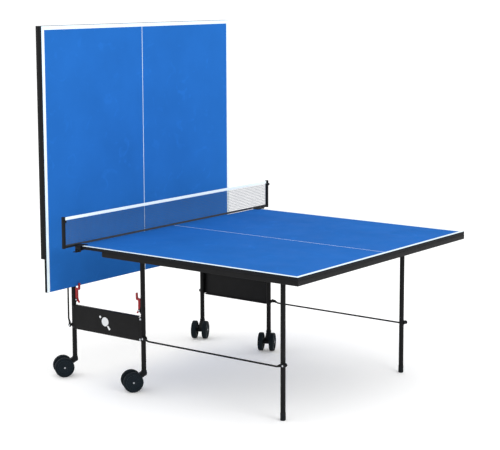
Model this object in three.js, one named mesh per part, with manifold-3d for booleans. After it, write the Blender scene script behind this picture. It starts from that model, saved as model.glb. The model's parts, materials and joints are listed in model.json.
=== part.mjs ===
// Folding table-tennis table on a wheeled undercarriage: one half upright in its stored position,
// the other half flat with the net on its inner edge. Millimetres, +Z up, X along the table,
// flat half towards +X. Built about the net line on the floor, then moved so that the origin
// is the centre of the bounding box at floor level.
import * as THREE from 'three';
import { mergeVertices } from 'three/addons/utils/BufferGeometryUtils.js';
import Module from 'manifold-3d';

// ---------- driving sizes ----------
const SURFACE_Z = 760;          // playing surface above the floor
const HALF_LENGTH = 1370;       // net line to end line
const WIDTH = 1525;             // across the table
const BOARD_T = 16;             // thickness of a playing board
const NET_LINE_GAP = 1.5;       // each board stops this far short of the net line
const EDGE_BEVEL = 1;           // eased edge of a board
const TOUCH = 0.3;              // gap left between faces that touch
const HALF_W = WIDTH / 2;
const UNDER_Z = SURFACE_Z - BOARD_T;
const DEG = Math.PI / 180;

const TUBE_R = 12.5;            // round tube of arches and leg frames
const TUBE_WALL = 1.5;
const BORE_R = TUBE_R - TUBE_WALL;
const BEND_R = 60;              // centre-line radius of the tube bends
const TUBE_Z = UNDER_Z - TUBE_R - 1.5;      // cross tubes, just under the boards
const ARCH_X = 244;             // arches stand this far from the net line
const LEG_X = HALF_LENGTH - 245;            // end legs, in from the end line
const LEG_Y = HALF_W - 224.5;               // legs, in from the long edge

const APRON = 25;               // square tube of the apron
const APRON_WALL = 1.5;
const APRON_TOP = UNDER_Z - TOUCH;
const APRON_START = ARCH_X - 67;            // where the side rails begin
const CROSS_RAIL_X = ARCH_X + 68;           // hidden cross rail of the apron

const ROD_R = 4.5;              // stay rod
const ROD_Y = LEG_Y + TUBE_R + 7.5;         // plane of the stay rods, outside the legs
const ROD_DROP = 8;             // the rod runs this far below its eyes
const STUD_OUT = TUBE_R + 1.5;  // studs sit this far outboard of the leg centres
const STUD_Z = 273;
const STUD_R = 3.9;
const EYE_R = 10;
const EYE_T = 5;
const EYE_CLEAR = 0.4;          // radial, eye on stud

const STRAP_Y = LEG_Y - 138;    // straps sit this far from the long centre line
const STRAP_W = 40;
const STRAP_T = 2.5;
const STRAP_CLEAR = 0.4;        // radial, tube in strap
const STRAP_REACH = 36;

const RAISED_EDGE_Z = TUBE_Z - ARCH_X + NET_LINE_GAP;     // lower edge of a raised board
const RAISED_FACE_X = ARCH_X - (SURFACE_Z - TUBE_Z);      // playing face of a raised board
const LATCH_X = ARCH_X - TUBE_R - 10.5;     // latch pin, beside the arch leg
const LATCH_Z = RAISED_EDGE_Z - 74.5;
const LATCH_T = 10;
const LATCH_PIN_R = 3;

const PANEL_TOP = LATCH_Z - 28;             // side panels between the arches
const PANEL_LOW = PANEL_TOP - 130;
const PANEL_END = ARCH_X + 2;
const PANEL_T = 1.5;
const PANEL_FLANGE = 18;

const WHEEL_R = 52;
const WHEEL_T = 26;
const WHEEL_Y = WHEEL_T / 2 + 19;           // each wheel centre from the middle of its caster
const CASTER_TRAIL = WHEEL_R + 10;          // axle behind the swivel axis
const ARCH_FOOT_Z = 2 * WHEEL_R;            // lower end of an arch leg, level with the wheel tops
const AXLE_R = 5;
const AXLE_CLEAR = 0.4;
const FORK_W = 26;
const HEADING_NEAR = -127;      // which way the casters happen to trail, degrees
const HEADING_FAR = -64;

const FOOT_R = TUBE_R + TOUCH + 0.9;        // passes behind the board when the leg is folded away
const FOOT_H = 38;
const FOOT_FLOOR = 4;

const POST_Y = HALF_W + 87.5;   // net posts
const POST_W = 16;
const NET_TOP = SURFACE_Z + 152.5;
const POST_TOP = NET_TOP + 3;
const POST_LOW = SURFACE_Z - 5;
const NET_T = 2;
const JAW_X0 = 4;
const JAW_X1 = 36;

const TUBE_SIDES = 14;
const BORE_SIDES = 8;
const BEND_STEPS = 4;
const WHEEL_SIDES = 18;

// ---------- solid helpers ----------
const wasm = await Module();
wasm.setup();

function solid(geometry) {
  const bare = geometry.clone();
  bare.deleteAttribute('normal');
  bare.deleteAttribute('uv');
  const welded = mergeVertices(bare, 1e-4);
  const index = Uint32Array.from(welded.index.array);
  const make = (tris) => new wasm.Manifold(new wasm.Mesh({
    numProp: 3,
    vertProperties: Float32Array.from(welded.attributes.position.array),
    triVerts: tris,
  }));
  const first = make(index);
  if (first.volume() >= 0) return first;
  return make(index.reverse());
}

function geometryOf(body) {
  const mesh = body.getMesh();
  const geometry = new THREE.BufferGeometry();
  geometry.setAttribute('position', new THREE.Float32BufferAttribute(mesh.vertProperties, 3));
  geometry.setIndex(new THREE.Uint32BufferAttribute(mesh.triVerts, 1));
  return geometry;
}

const join = (list) => list.reduce((a, b) => a.add(b));
const cut = (body, list) => list.reduce((a, b) => a.subtract(b), body);

function box(x, y, z) {
  const g = new THREE.BoxGeometry(
    Math.abs(x[1] - x[0]), Math.abs(y[1] - y[0]), Math.abs(z[1] - z[0]));
  g.translate((x[0] + x[1]) / 2, (y[0] + y[1]) / 2, (z[0] + z[1]) / 2);
  return solid(g);
}

// round bar along 'x', 'y' or 'z' between two stations of that axis
function bar(axis, centre, r, from, to, sides = TUBE_SIDES) {
  const g = new THREE.CylinderGeometry(r, r, Math.abs(to - from), sides);
  g.rotateY(Math.PI / sides);
  if (axis === 'x') g.rotateZ(-Math.PI / 2);
  if (axis === 'z') g.rotateX(Math.PI / 2);
  const mid = (from + to) / 2;
  if (axis === 'x') g.translate(mid, centre[0], centre[1]);
  if (axis === 'y') g.translate(centre[0], mid, centre[1]);
  if (axis === 'z') g.translate(centre[0], centre[1], mid);
  return solid(g);
}

// outline in the XZ plane, pushed along Y
function plate(points, y0, y1) {
  const shape = new THREE.Shape(points.map(([x, z]) => new THREE.Vector2(x, z)));
  const g = new THREE.ExtrudeGeometry(shape, { depth: Math.abs(y1 - y0), bevelEnabled: false });
  g.rotateX(Math.PI / 2);
  g.translate(0, Math.max(y0, y1), 0);
  return solid(g);
}

function arc(cx, cz, r, a0, a1, steps) {
  const out = [];
  for (let i = 0; i <= steps; i += 1) {
    const a = (a0 + ((a1 - a0) * i) / steps) * DEG;
    out.push([cx + r * Math.cos(a), cz + r * Math.sin(a)]);
  }
  return out;
}

// a path given by stations, each with its own exact direction
class Stations extends THREE.Curve {
  constructor(points, ways) {
    super();
    this.points = points;
    this.ways = ways;
  }

  getPoint(t) {
    return this.points[Math.round(t * (this.points.length - 1))].clone();
  }

  getPointAt(t) {
    return this.getPoint(t);
  }

  getTangentAt(t) {
    return this.ways[Math.round(t * (this.ways.length - 1))].clone();
  }
}

// inverted U of round section in the plane X = x
function hoop(x, footZ, r, sides, spare) {
  const points = [];
  const ways = [];
  const add = (y, z, wy, wz) => {
    points.push(new THREE.Vector3(x, y, z));
    ways.push(new THREE.Vector3(0, wy, wz).normalize());
  };
  add(-LEG_Y, footZ - spare, 0, 1);
  for (let i = 0; i <= BEND_STEPS; i += 1) {
    const a = (90 * i * DEG) / BEND_STEPS;
    add(-LEG_Y + BEND_R * (1 - Math.cos(a)), TUBE_Z - BEND_R * (1 - Math.sin(a)),
      Math.sin(a), Math.cos(a));
  }
  for (let i = 0; i <= BEND_STEPS; i += 1) {
    const a = (90 * i * DEG) / BEND_STEPS;
    add(LEG_Y - BEND_R * (1 - Math.sin(a)), TUBE_Z - BEND_R * (1 - Math.cos(a)),
      Math.cos(a), -Math.sin(a));
  }
  add(LEG_Y, footZ - spare, 0, -1);
  const ring = arc(0, 0, r, 180 / sides, 360 + 180 / sides, sides).slice(0, sides);
  const shape = new THREE.Shape(ring.map(([a, b]) => new THREE.Vector2(a, b)));
  const path = new Stations(points, ways);
  return solid(new THREE.ExtrudeGeometry(shape, {
    steps: points.length - 1,
    extrudePath: path,
    bevelEnabled: false,
  }));
}

// ---------- materials ----------
const finishes = {
  board_blue: [0x2a6cc4, 0.45, 0],
  frame_black: [0x1b1b1c, 0.45, 0.6],
  plastic_black: [0x1d1d1f, 0.55, 0],
  latch_red: [0xaa191e, 0.35, 0],
  wheel_black: [0x19262d, 0.6, 0],
  axle_steel: [0xb9bec4, 0.35, 1],
  net_white: [0xd9d9d6, 0.9, 0],
};

function part(name, body, finish) {
  const [color, roughness, metalness] = finishes[finish];
  const material = new THREE.MeshStandardMaterial({ color, roughness, metalness });
  material.name = finish;
  const mesh = new THREE.Mesh(geometryOf(body), material);
  mesh.name = name;
  return mesh;
}

// ---------- playing board ----------
function boardBody() {
  const x0 = NET_LINE_GAP + EDGE_BEVEL;
  const x1 = HALF_LENGTH - EDGE_BEVEL;
  const y = HALF_W - EDGE_BEVEL;
  const shape = new THREE.Shape([
    new THREE.Vector2(x0, -y),
    new THREE.Vector2(x1, -y),
    new THREE.Vector2(x1, y),
    new THREE.Vector2(x0, y),
  ]);
  const g = new THREE.ExtrudeGeometry(shape, {
    depth: BOARD_T - 2 * EDGE_BEVEL,
    bevelEnabled: true,
    bevelSize: EDGE_BEVEL,
    bevelThickness: EDGE_BEVEL,
    bevelSegments: 1,
  });
  g.translate(0, 0, UNDER_Z + EDGE_BEVEL);
  return solid(g);
}

// ---------- apron: three-sided hollow frame under the board, with one hidden cross rail ----------
function apronBody() {
  const z = [APRON_TOP - APRON, APRON_TOP];
  const inner = HALF_W - APRON;
  const hollow = [z[0] + APRON_WALL, z[1] - APRON_WALL];
  const w = APRON_WALL;
  const cross = [CROSS_RAIL_X - APRON / 2, CROSS_RAIL_X + APRON / 2];
  const outside = [
    box([APRON_START, HALF_LENGTH], [-HALF_W, -inner], z),
    box([APRON_START, HALF_LENGTH], [inner, HALF_W], z),
    box([HALF_LENGTH - APRON, HALF_LENGTH], [-HALF_W, HALF_W], z),
    box(cross, [-HALF_W + 1, HALF_W - 1], z),
  ];
  const bores = [
    box([APRON_START - 1, HALF_LENGTH - w], [-HALF_W + w, -inner - w], hollow),
    box([APRON_START - 1, HALF_LENGTH - w], [inner + w, HALF_W - w], hollow),
    box([HALF_LENGTH - APRON + w, HALF_LENGTH - w], [-HALF_W + w, HALF_W - w], hollow),
    box([cross[0] + w, cross[1] - w], [-HALF_W + w, HALF_W - w], hollow),
  ];
  return join(outside).subtract(join(bores));
}

// ---------- strap: holds a cross tube to the underside of the board ----------
function strapBody(x, side) {
  const rIn = TUBE_R + STRAP_CLEAR;
  const rOut = rIn + STRAP_T;
  const top = APRON_TOP;
  const ear = top - STRAP_T;
  const outline = [
    [x - STRAP_REACH, top],
    [x - rIn, top],
    ...arc(x, TUBE_Z, rIn, 180, 360, 8),
    [x + rIn, top],
    [x + STRAP_REACH, top],
    [x + STRAP_REACH, ear],
    [x + rOut, ear],
    ...arc(x, TUBE_Z, rOut, 0, -180, 8),
    [x - rOut, ear],
    [x - STRAP_REACH, ear],
  ];
  const y = side * STRAP_Y;
  return plate(outline, y - STRAP_W / 2, y + STRAP_W / 2);
}

// ---------- bent tube frame with the studs its stay rods hang on ----------
function tubeFrame(x, footZ) {
  const pieces = [hoop(x, footZ, TUBE_R, TUBE_SIDES, 0)];
  const sx = x + STUD_OUT;
  [-1, 1].forEach((s) => {
    const tabX = [x + TUBE_R - 6, sx + 9];
    pieces.push(box(tabX, [s * (LEG_Y - 3), s * (LEG_Y + 3)], [STUD_Z - 10, STUD_Z + 10]));
    const eyeIn = ROD_Y - EYE_T / 2;
    const eyeOut = ROD_Y + EYE_T / 2;
    const at = [sx, STUD_Z];
    pieces.push(bar('y', at, 6.5, s * LEG_Y, s * (eyeIn - TOUCH), 12));
    pieces.push(bar('y', at, STUD_R, s * LEG_Y, s * (eyeOut + TOUCH + 1), 12));
    pieces.push(bar('y', at, 7.5, s * (eyeOut + TOUCH), s * (eyeOut + 3), 12));
  });
  return join(pieces).subtract(hoop(x, footZ, BORE_R, BORE_SIDES, 1));
}

// ---------- stay rod with flattened eyes ----------
function rodBody(side) {
  const x0 = ARCH_X + STUD_OUT;
  const x1 = LEG_X + STUD_OUT;
  const y0 = side * (ROD_Y - EYE_T / 2);
  const y1 = side * (ROD_Y + EYE_T / 2);
  const low = STUD_Z - ROD_DROP;
  const pieces = [bar('x', [side * ROD_Y, low], ROD_R, x0 + 26, x1 - 26, 10)];
  const holes = [];
  [[x0, 1], [x1, -1]].forEach(([x, way]) => {
    pieces.push(bar('y', [x, STUD_Z], EYE_R, y0, y1, TUBE_SIDES));
    pieces.push(plate([
      [x + way * 2, STUD_Z + EYE_R * 0.94],
      [x + way * 32, low + ROD_R + 1],
      [x + way * 32, low - ROD_R - 1],
      [x - way * 3, STUD_Z - EYE_R * 0.9],
    ], y0, y1));
    holes.push(bar('y', [x, STUD_Z], STUD_R + EYE_CLEAR, y0 - side, y1 + side, 12));
  });
  return cut(join(pieces), holes);
}

// ---------- plastic foot on an end leg ----------
function footBody(x, side) {
  const at = [x, side * LEG_Y];
  const cup = bar('z', at, FOOT_R, 0, FOOT_H);
  return cup.subtract(bar('z', at, TUBE_R + TOUCH, FOOT_FLOOR, FOOT_H + 1));
}

// ---------- one half of the table, drawn flat on the +X side ----------
function moved(group, x, z) {
  group.position.set(x, 0, z);
  const inside = new THREE.Group();
  inside.position.set(-x, 0, -z);
  group.add(inside);
  return inside;
}

function tableHalf(hand, sideName, raise) {
  const half = new THREE.Group();
  const fold = new THREE.Group();
  const carried = moved(fold, ARCH_X, TUBE_Z);
  const legs = new THREE.Group();
  const legParts = moved(legs, LEG_X, TUBE_Z);
  const rods = new THREE.Group();
  const rodParts = moved(rods, ARCH_X + STUD_OUT, STUD_Z);
  carried.add(part(`${hand}_board`, boardBody(), 'board_blue'));
  carried.add(part(`${hand}_apron`, apronBody(), 'frame_black'));
  legParts.add(part(`${hand}_leg_frame`, tubeFrame(LEG_X, FOOT_FLOOR + TOUCH), 'frame_black'));
  [-1, 1].forEach((s) => {
    const where = sideName(s);
    carried.add(part(`${hand}_pivot_strap_${where}`, strapBody(ARCH_X, s), 'frame_black'));
    carried.add(part(`${hand}_leg_strap_${where}`, strapBody(LEG_X, s), 'frame_black'));
    legParts.add(part(`${hand}_foot_${where}`, footBody(LEG_X, s), 'plastic_black'));
    rodParts.add(part(`${hand}_stay_rod_${where}`, rodBody(s), 'frame_black'));
  });
  carried.add(legs);
  fold.rotation.y = -raise * DEG;
  legs.rotation.y = raise * DEG;
  rods.rotation.y = -raise * DEG;
  half.add(fold, rods);
  return half;
}

// ---------- undercarriage ----------
function panelBody(side) {
  const face = side * (LEG_Y + TUBE_R + TOUCH);
  const outer = face + side * PANEL_T;
  const flangeX = ARCH_X - TUBE_R - 5;
  const back = outer - side * PANEL_FLANGE;
  return join([
    box([-PANEL_END, PANEL_END], [face, outer], [PANEL_LOW, PANEL_TOP]),
    box([-flangeX, flangeX], [back, outer], [PANEL_TOP - PANEL_T, PANEL_TOP]),
    box([-flangeX, flangeX], [back, outer], [PANEL_LOW, PANEL_LOW + PANEL_T]),
  ]);
}

function latchBracketBody(hand, side) {
  const y = side * LEG_Y;
  const half = LATCH_T / 2 + 0.5;
  const wall = [hand * (ARCH_X - TUBE_R - TOUCH - 2), hand * (ARCH_X - TUBE_R - TOUCH)];
  const ear = [hand * (LATCH_X - 7), wall[1]];
  const z = [LATCH_Z - 9, LATCH_Z + 9];
  return join([
    box(wall, [y - half - 2, y + half + 2], [LATCH_Z - 15, LATCH_Z + 15]),
    box(ear, [y - half - 2, y - half], z),
    box(ear, [y + half, y + half + 2], z),
    bar('y', [hand * LATCH_X, LATCH_Z], LATCH_PIN_R, y - half - 1, y + half + 1, 12),
  ]);
}

// hook that reaches under the edge of a raised board and up in front of it
function latchBody(hand, side) {
  const y = side * LEG_Y;
  const pivotEnd = [
    [8, 63], [6, 53], [6, 7], [7, 0], [5, -5], [0, -7], [-7, -8],
    [-15, -16.5], [-18.5, -13], [-10, -2], [-6.5, 8], [-6.5, 50],
  ].map(([x, z]) => [hand * (LATCH_X + x), LATCH_Z + z]);
  const tip = [
    [-3, 53], [-12, 54], [-14.5, 58], [-15.5, 88], [-13, 91], [-8, 90], [-5.5, 65], [-3, 63],
  ].map(([x, z]) => [hand * (RAISED_FACE_X + x), LATCH_Z + z]);
  const outline = [...pivotEnd, ...tip];
  const hook = plate(outline, y - LATCH_T / 2, y + LATCH_T / 2);
  const pin = bar('y', [hand * LATCH_X, LATCH_Z], LATCH_PIN_R + 0.4, y - 8, y + 8, 12);
  return hook.subtract(pin);
}

// ---------- casters, drawn trailing along +X from a swivel axis at the origin ----------
function forkBody() {
  const top = ARCH_FOOT_Z - TOUCH;
  const w = FORK_W / 2;
  const t = CASTER_TRAIL;
  const arm = plate([
    [-14, top], [15, top], [t - 2, WHEEL_R + 15], [t + 9, WHEEL_R + 9], [t + 13, WHEEL_R],
    [t + 8, WHEEL_R - 10], [t - 3, WHEEL_R - 13], [t - 12, WHEEL_R - 9], [-14, top - 22],
  ], -w, w);
  const hubEnd = WHEEL_Y - WHEEL_T / 2 - TOUCH;
  const hub = bar('y', [t, WHEEL_R], 11, -hubEnd, hubEnd);
  const stem = bar('z', [0, 0], BORE_R - 1.5, top - 5, top + 40, 12);
  const bore = bar('y', [t, WHEEL_R], AXLE_R + 0.3, -40, 40, 12);
  return join([arm, hub, stem]).subtract(bore);
}

function axleBody() {
  const at = [CASTER_TRAIL, WHEEL_R];
  const reach = WHEEL_Y + WHEEL_T / 2 + TOUCH;
  return join([
    bar('y', at, AXLE_R, -reach - 1, reach + 1, 12),
    bar('y', at, 6.5, -reach - 2.2, -reach, 12),
    bar('y', at, 6.5, reach, reach + 2.2, 12),
  ]);
}

function wheelBody(side) {
  const h = WHEEL_T / 2;
  const bore = AXLE_R + AXLE_CLEAR;
  const profile = [
    [bore, -h], [WHEEL_R - 4, -h], [WHEEL_R, -h + 4], [WHEEL_R, h - 4], [WHEEL_R - 4, h],
    [WHEEL_R - 9, h], [WHEEL_R - 12, h - 2.5], [17, h - 2.5], [15, h], [bore, h], [bore, -h],
  ].map(([r, a]) => new THREE.Vector2(r, side * a));
  const g = new THREE.LatheGeometry(profile, WHEEL_SIDES);
  return solid(g).translate([CASTER_TRAIL, side * WHEEL_Y, WHEEL_R]);
}

function caster(hand, side, where) {
  const group = new THREE.Group();
  group.position.set(hand * ARCH_X, side * LEG_Y, 0);
  group.rotation.z = (side < 0 ? HEADING_NEAR : HEADING_FAR) * DEG;
  group.add(part(`caster_fork_${where}`, forkBody(), 'plastic_black'));
  group.add(part(`caster_axle_${where}`, axleBody(), 'axle_steel'));
  group.add(part(`caster_wheel_${where}_a`, wheelBody(-1), 'wheel_black'));
  group.add(part(`caster_wheel_${where}_b`, wheelBody(1), 'wheel_black'));
  return group;
}

// ---------- net set ----------
function netPostBody(side) {
  const s = side;
  const w = POST_W / 2;
  const jawIn = HALF_W - 48;
  const wallIn = HALF_W + 1.5;
  const wallOut = HALF_W + 12.5;
  const over = SURFACE_Z + TOUCH;
  const pinAt = [s * (HALF_W + 7), UNDER_Z - 9];
  return join([
    box([-w, w], [s * (POST_Y - w), s * (POST_Y + w)], [POST_LOW, POST_TOP]),
    box([-w + 1, w - 1], [s * (HALF_W + 4), s * (POST_Y - w + 1)], [SURFACE_Z - 3, over + 6]),
    box([-12, 38], [s * jawIn, s * wallOut], [over, over + 5]),
    box([JAW_X0, JAW_X1], [s * wallIn, s * wallOut], [UNDER_Z - 2, over + 1]),
    box([JAW_X0, JAW_X0 + 4], [s * wallIn, s * wallOut], [UNDER_Z - 14, UNDER_Z]),
    box([JAW_X1 - 4, JAW_X1], [s * wallIn, s * wallOut], [UNDER_Z - 14, UNDER_Z]),
    bar('x', pinAt, 2.5, JAW_X0 + 1, JAW_X1 - 1, 12),
  ]);
}

function clipJawBody(side) {
  const s = side;
  const x = [JAW_X0 + 4.5, JAW_X1 - 4.5];
  const at = [s * (HALF_W + 7), UNDER_Z - 9];
  const body = join([
    bar('x', at, 5.2, x[0], x[1], 12),
    box(x, [s * (HALF_W - 42), s * (HALF_W + 7)], [UNDER_Z - 7.4, UNDER_Z - 4.4]),
    box(x, [s * (HALF_W - 42), s * (HALF_W - 34)], [UNDER_Z - 5, UNDER_Z - TOUCH]),
    box(x, [s * (HALF_W + 8), s * (HALF_W + 34)], [UNDER_Z - 13, UNDER_Z - 10]),
  ]);
  return body.subtract(bar('x', at, 2.9, x[0] - 1, x[1] + 1, 12));
}

function netBody() {
  const end = POST_Y - POST_W / 2 - TOUCH;
  const clear = HALF_W - 50;
  const low = SURFACE_Z + 1;
  const step = SURFACE_Z + 7.5;
  const outline = [
    [-end, step], [-clear, step], [-clear, low], [clear, low],
    [clear, step], [end, step], [end, NET_TOP], [-end, NET_TOP],
  ];
  const shape = new THREE.Shape(outline.map(([y, z]) => new THREE.Vector2(y, z)));
  const g = new THREE.ExtrudeGeometry(shape, { depth: NET_T, bevelEnabled: false });
  g.rotateX(Math.PI / 2);
  g.rotateZ(Math.PI / 2);
  const body = solid(g);
  const reach = body.boundingBox();
  return body.translate([-(reach.min[0] + reach.max[0]) / 2, 0, 0]);
}

// ---------- assembly ----------
const table = new THREE.Group();
table.name = 'ping_pong_table';
const inner = new THREE.Group();
table.add(inner);

const hands = { left: -1, right: 1 };
const sides = { near: -1, far: 1 };
const nameOf = (s) => (s < 0 ? 'near' : 'far');

Object.entries(hands).forEach(([hand, hx]) => {
  const arch = part(`${hand}_arch`, tubeFrame(ARCH_X, ARCH_FOOT_Z), 'frame_black');
  if (hx < 0) arch.rotation.z = Math.PI;
  inner.add(arch);
  Object.entries(sides).forEach(([where, sy]) => {
    inner.add(part(`latch_bracket_${hand}_${where}`, latchBracketBody(hx, sy), 'frame_black'));
    inner.add(part(`latch_${hand}_${where}`, latchBody(hx, sy), 'latch_red'));
    inner.add(caster(hx, sy, `${hand}_${where}`));
  });
});

Object.entries(sides).forEach(([where, sy]) => {
  inner.add(part(`side_panel_${where}`, panelBody(sy), 'frame_black'));
  inner.add(part(`net_post_${where}`, netPostBody(sy), 'plastic_black'));
  inner.add(part(`net_clip_jaw_${where}`, clipJawBody(sy), 'plastic_black'));
});
inner.add(part('net', netBody(), 'net_white'));

inner.add(tableHalf('right', nameOf, 0));
const left = tableHalf('left', (s) => nameOf(-s), 90);
left.rotation.z = Math.PI;
inner.add(left);

// ---------- origin: centre of the bounding box, on the floor ----------
table.updateMatrixWorld(true);
const extent = new THREE.Box3().setFromObject(table, true);
inner.position.set(-(extent.min.x + extent.max.x) / 2, -(extent.min.y + extent.max.y) / 2, 0);
table.updateMatrixWorld(true);

export default table;
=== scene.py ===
# %% [markdown]
# # A folding table-tennis table
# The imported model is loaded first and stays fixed. It says where every piece sits and how it moves.
# Each piece is then made again with its bends, bolts, seams and finishes, and is set on the body
# that it travels with. Moving the loaded solids would be quicker, but then nothing would hold the
# true sizes, so they are only measured.

# %% Load the fixed frame
import json
from math import atan2, cos, hypot, pi, radians, sin

import bmesh
import bpy
from mathutils import Matrix, Vector


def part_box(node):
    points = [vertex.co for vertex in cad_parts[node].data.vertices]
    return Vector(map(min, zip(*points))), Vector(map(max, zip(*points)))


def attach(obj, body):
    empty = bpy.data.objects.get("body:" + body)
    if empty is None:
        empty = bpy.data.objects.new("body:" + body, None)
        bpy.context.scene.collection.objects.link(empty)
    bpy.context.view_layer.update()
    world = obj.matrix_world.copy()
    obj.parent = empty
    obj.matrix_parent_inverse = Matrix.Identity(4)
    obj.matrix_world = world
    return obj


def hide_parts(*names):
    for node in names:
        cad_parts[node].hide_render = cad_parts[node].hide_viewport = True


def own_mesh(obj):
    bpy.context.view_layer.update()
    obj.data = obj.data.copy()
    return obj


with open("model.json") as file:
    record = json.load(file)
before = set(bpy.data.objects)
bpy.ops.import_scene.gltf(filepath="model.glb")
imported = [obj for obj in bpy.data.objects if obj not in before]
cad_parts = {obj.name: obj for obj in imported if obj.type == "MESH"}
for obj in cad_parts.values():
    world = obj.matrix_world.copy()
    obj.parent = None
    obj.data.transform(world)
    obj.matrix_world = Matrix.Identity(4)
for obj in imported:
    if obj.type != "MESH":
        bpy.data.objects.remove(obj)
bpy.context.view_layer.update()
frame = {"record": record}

# %% [markdown]
# The joints give the exact pivots, and the boxes give the outer faces. Everything below is written
# in millimetres about the net line on the floor, for the flat half.
# The raised half is the same set of pieces, turned end for end and swung up by a quarter turn.
# It could be modelled where it stands, but one set of shapes and two placements keeps both alike.

# %% Measure the frame and set up its local places
pivot = {j["name"]: Vector(j["pos_m"]) for j in frame["record"]["behaviour"]["joints"]}
net_line = (pivot["left_fold"].x + pivot["right_fold"].x) / 2


def mm(point):
    """A point in metres, given in millimetres from the net line."""
    return Vector(((point.x - net_line) * 1000, point.y * 1000, point.z * 1000))


ARCH = mm(pivot["right_fold"])
LEG = mm(pivot["right_legs_swing"])
STUD = mm(pivot["right_stay_swing"])
LATCH = mm(pivot["latch_right_far_press"])
LEG_Y = LATCH.y
board_low, board_high = (mm(p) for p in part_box("right_board"))
SURFACE, UNDER, HALF_W, END = board_high.z, board_low.z, board_high.y, board_high.x
TUBE_R, TUBE_WALL, BEND_R = 12.5, 1.5, 60
STUD_OUT = TUBE_R + 1.5
ROD_Y = sum(mm(corner).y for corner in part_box("right_stay_rod_far")) / 2
print("surface", round(SURFACE, 1), "half width", round(HALF_W, 1), "half length", round(END, 1))


def moved(x, y, z):
    """A shift by millimetres."""
    return Matrix.Translation((x / 1000, y / 1000, z / 1000))


def swung(point, angle):
    """A turn by degrees about the cross axis through the point."""
    there = moved(point.x, 0, point.z)
    return there @ Matrix.Rotation(radians(angle), 4, "Y") @ there.inverted()


FLAT = moved(net_line * 1000, 0, 0)
TURNED = FLAT @ Matrix.Rotation(pi, 4, "Z")
PLACE = {
    "right": {"half": FLAT, "legs": FLAT, "rods": FLAT, "arch": FLAT},
    "left": {
        "half": TURNED @ swung(ARCH, -90),
        "legs": TURNED @ swung(ARCH, -90) @ swung(LEG, 90),
        "rods": TURNED @ swung(STUD, -90),
        "arch": TURNED,
    },
}
SIDE_NAME = {"right": {-1: "near", 1: "far"}, "left": {-1: "far", 1: "near"}}
HANDS = {"left": -1, "right": 1}
SIDES = {"near": -1, "far": 1}

# %% [markdown]
# The view is from the near right-hand corner, a little above the playing surface, with a long lens
# so that the two halves keep their true proportions. A camera can be aimed with a constraint, but
# three plain angles are easier to read and to correct one at a time.

# %% Camera
yaw, pitch, roll = radians(37.270), radians(8.150), radians(-0.173)
standpoint = Vector((net_line + 5.0166, -5.9066, 2.0504))
film_width, focal_length, lens_shift = 36, 103.41, -0.066
ahead = Vector((-sin(yaw) * cos(pitch), cos(yaw) * cos(pitch), -sin(pitch)))
across = ahead.cross(Vector((0, 0, 1))).normalized()
upward = across.cross(ahead)
right_way = cos(roll) * across + sin(roll) * upward
up_way = -sin(roll) * across + cos(roll) * upward
camera = bpy.data.objects.new("camera", bpy.data.cameras.new("camera"))
bpy.context.scene.collection.objects.link(camera)
place = Matrix((right_way, up_way, -ahead)).transposed().to_4x4()
place.translation = standpoint
camera.matrix_world = place
camera.data.sensor_width = film_width
camera.data.lens = focal_length
camera.data.shift_y = lens_shift
bpy.context.scene.camera = camera

# %% [markdown]
# Finishes are built from noise at real sizes: a slow mottle in the colour, a change of gloss as
# from handling, and a fine relief such as the orange peel of powder coat. One function makes them,
# because painted, moulded and plated surfaces differ mainly in those three scales. An image would
# need unwrapping and would blur up close, while noise in object space is sharp at any distance.


# %% The function that makes a finish
def linear(value):
    """A 0..255 screen value as linear light."""
    value /= 255
    return value / 12.92 if value <= 0.04045 else ((value + 0.055) / 1.055) ** 2.4


def shade(r, g, b, scale=1.0):
    return (min(1, linear(r) * scale), min(1, linear(g) * scale), min(1, linear(b) * scale), 1)


def noise(nodes, links, coords, size, detail=3.0):
    """Noise with blotches of the given size in mm."""
    made = nodes.new("ShaderNodeTexNoise")
    made.inputs["Scale"].default_value = 1000 / size
    made.inputs["Detail"].default_value = detail
    links.new(coords.outputs["Object"], made.inputs["Vector"])
    return made


def spread(nodes, links, source, low_value, high_value, span=(0.3, 0.7)):
    """Stretch the part of a 0..1 signal within span over the two values."""
    made = nodes.new("ShaderNodeMapRange")
    made.inputs["From Min"].default_value = span[0]
    made.inputs["From Max"].default_value = span[1]
    made.inputs["To Min"].default_value = low_value
    made.inputs["To Max"].default_value = high_value
    links.new(source, made.inputs["Value"])
    return made.outputs["Result"]


def blend_colours(nodes, links, factor, first, second):
    made = nodes.new("ShaderNodeMix")
    made.data_type = "RGBA"
    links.new(factor, made.inputs["Factor"])
    for socket, colour in (("A", first), ("B", second)):
        target = [i for i in made.inputs if i.name == socket and i.type == "RGBA"][0]
        if isinstance(colour, tuple):
            target.default_value = colour
        else:
            links.new(colour, target)
    return [o for o in made.outputs if o.type == "RGBA"][0]


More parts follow.
